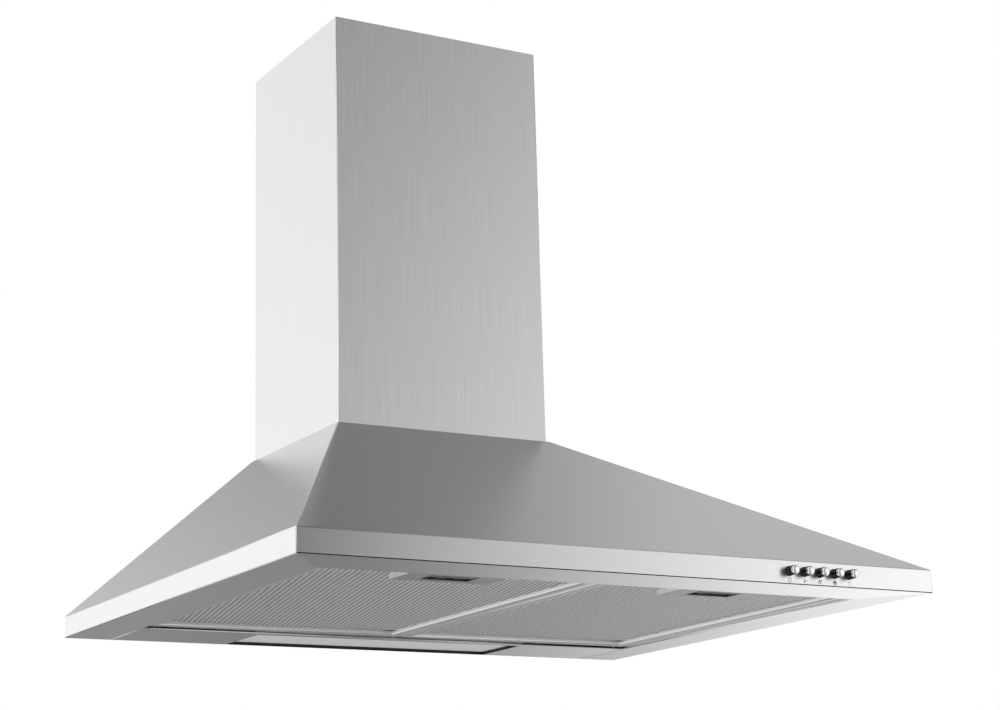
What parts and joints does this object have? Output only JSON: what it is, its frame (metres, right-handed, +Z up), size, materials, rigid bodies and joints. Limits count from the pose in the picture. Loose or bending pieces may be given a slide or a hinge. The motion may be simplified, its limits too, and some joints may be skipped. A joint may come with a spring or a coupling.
{
  "type": "chimney range hood",
  "caption": "Wall-hung stainless chimney range hood: pyramid canopy on a thin rim, square telescopic chimney, latched grease filters, lamp strip, push buttons and a ducted centrifugal blower.",
  "frame": {"origin": "on the wall plane, at the middle of the hood's bottom edge", "axes": "+X to the right seen from the front, +Y into the wall, +Z up; the front faces -Y"},
  "size_m": [0.6, 0.52, 0.579],
  "materials": {
    "brushed_stainless": "stainless steel sheet with a fine straight brushed grain",
    "galvanised_sheet": "hot-dip galvanised steel sheet, dull with faint spangle",
    "aluminium_profile": "rolled aluminium frame section, satin",
    "aluminium_mesh": "perforated and expanded aluminium sheet",
    "grey_abs": "moulded grey ABS, satin",
    "black_abs": "moulded black ABS, glossy",
    "chromed_cap": "bright chrome-plated cap",
    "black_polypropylene": "moulded black polypropylene, fine texture",
    "frosted_acrylic": "frosted translucent sheet",
    "lamp_glass": "opal lamp glass",
    "white_ceramic": "white lamp holder",
    "white_enamel": "white painted steel",
    "motor_can": "zinc-plated motor can",
    "ground_steel": "ground steel rod",
    "zinc_screw": "zinc-plated screws",
    "spring_steel": "spring steel strip",
    "black_rubber": "moulded rubber",
    "white_polymer": "white moulded can"
  },
  "bodies": {
    "hood": {"canopy_shell": "brushed_stainless", "chimney_lower": "brushed_stainless", "lamp_strip": "brushed_stainless", "back_panel": "galvanised_sheet", "blower_plate": "galvanised_sheet", "lamp_reflector": "white_enamel", "lamp_diffuser": "frosted_acrylic", "lamp_holder_left": "white_ceramic", "lamp_holder_right": "white_ceramic", "lamp_bulb_left": "lamp_glass", "lamp_bulb_right": "lamp_glass", "scroll_front": "black_polypropylene", "scroll_rear": "black_polypropylene", "motor": "motor_can", "motor_bracket": "galvanised_sheet", "motor_mounts": "black_rubber", "motor_screws": "zinc_screw", "capacitor": "white_polymer", "outlet_collar": "black_polypropylene", "damper_spindle": "ground_steel", "outlet_screws": "zinc_screw", "switch_block": "black_polypropylene", "terminal_box": "black_polypropylene", "terminal_lid": "black_polypropylene", "cable_grommet": "black_rubber", "latch_left_catch": "brushed_stainless", "latch_right_catch": "brushed_stainless"},
    "telescopic_section": {"chimney_upper": "brushed_stainless", "chimney_bracket": "galvanised_sheet"},
    "impeller_rotor": {"impeller": "black_polypropylene", "motor_shaft": "ground_steel"},
    "damper_rear": {"damper_flap_rear": "black_polypropylene"},
    "damper_front": {"damper_flap_front": "black_polypropylene"},
    "button_1": {"button_barrel_1": "black_abs", "button_cap_1": "chromed_cap"},
    "button_2": {"button_barrel_2": "black_abs", "button_cap_2": "chromed_cap"},
    "button_3": {"button_barrel_3": "black_abs", "button_cap_3": "chromed_cap"},
    "button_4": {"button_barrel_4": "black_abs", "button_cap_4": "chromed_cap"},
    "button_5": {"button_barrel_5": "black_abs", "button_cap_5": "chromed_cap"},
    "filter_left": {"filter_left_frame": "aluminium_profile", "filter_left_face": "aluminium_mesh", "filter_left_mesh": "aluminium_mesh", "filter_left_back": "aluminium_mesh", "latch_left_housing": "grey_abs", "latch_left_spring": "spring_steel"},
    "latch_left": {"latch_left_slider": "grey_abs"},
    "filter_right": {"filter_right_frame": "aluminium_profile", "filter_right_face": "aluminium_mesh", "filter_right_mesh": "aluminium_mesh", "filter_right_back": "aluminium_mesh", "latch_right_housing": "grey_abs", "latch_right_spring": "spring_steel"},
    "latch_right": {"latch_right_slider": "grey_abs"}
  },
  "joints": [
    {"name": "chimney_slide", "type": "slide", "parent": "hood", "child": "telescopic_section", "axis": [0, 0, 1], "range_m": [0, 0.3]},
    {"name": "impeller_spin", "type": "hinge", "parent": "hood", "child": "impeller_rotor", "pos_m": [0.051, -0.12, 0.103], "axis": [0, -1, 0], "continuous": true},
    {"name": "damper_rear_hinge", "type": "hinge", "parent": "hood", "child": "damper_rear", "pos_m": [0, -0.12, 0.19625], "axis": [1, 0, 0], "range_deg": [0, 75]},
    {"name": "damper_front_hinge", "type": "hinge", "parent": "hood", "child": "damper_front", "pos_m": [0, -0.12, 0.19625], "axis": [-1, 0, 0], "range_deg": [0, 75]},
    {"name": "button_1_push", "type": "slide", "parent": "hood", "child": "button_1", "axis": [0, 1, 0], "range_m": [0, 0.003], "stiffness_N_per_m": 400, "springref_m": -0.002},
    {"name": "button_2_push", "type": "slide", "parent": "hood", "child": "button_2", "axis": [0, 1, 0], "range_m": [0, 0.003], "stiffness_N_per_m": 400, "springref_m": -0.002},
    {"name": "button_3_push", "type": "slide", "parent": "hood", "child": "button_3", "axis": [0, 1, 0], "range_m": [0, 0.003], "stiffness_N_per_m": 400, "springref_m": -0.002},
    {"name": "button_4_push", "type": "slide", "parent": "hood", "child": "button_4", "axis": [0, 1, 0], "range_m": [0, 0.003], "stiffness_N_per_m": 400, "springref_m": -0.002},
    {"name": "button_5_push", "type": "slide", "parent": "hood", "child": "button_5", "axis": [0, 1, 0], "range_m": [0, 0.003], "stiffness_N_per_m": 400, "springref_m": -0.002},
    {"name": "filter_left_tilt", "type": "hinge", "parent": "hood", "child": "filter_left", "pos_m": [-0.12785, -0.085, 0.002], "axis": [1, 0, 0], "range_deg": [0, 75]},
    {"name": "latch_left_pull", "type": "slide", "parent": "filter_left", "child": "latch_left", "axis": [0, 1, 0], "range_m": [0, 0.005], "stiffness_N_per_m": 300, "springref_m": -0.003, "deforming": ["latch_left_spring"]},
    {"name": "filter_right_tilt", "type": "hinge", "parent": "hood", "child": "filter_right", "pos_m": [0.12785, -0.085, 0.002], "axis": [1, 0, 0], "range_deg": [0, 75]},
    {"name": "latch_right_pull", "type": "slide", "parent": "filter_right", "child": "latch_right", "axis": [0, 1, 0], "range_m": [0, 0.005], "stiffness_N_per_m": 300, "springref_m": -0.003, "deforming": ["latch_right_spring"]}
  ]
}
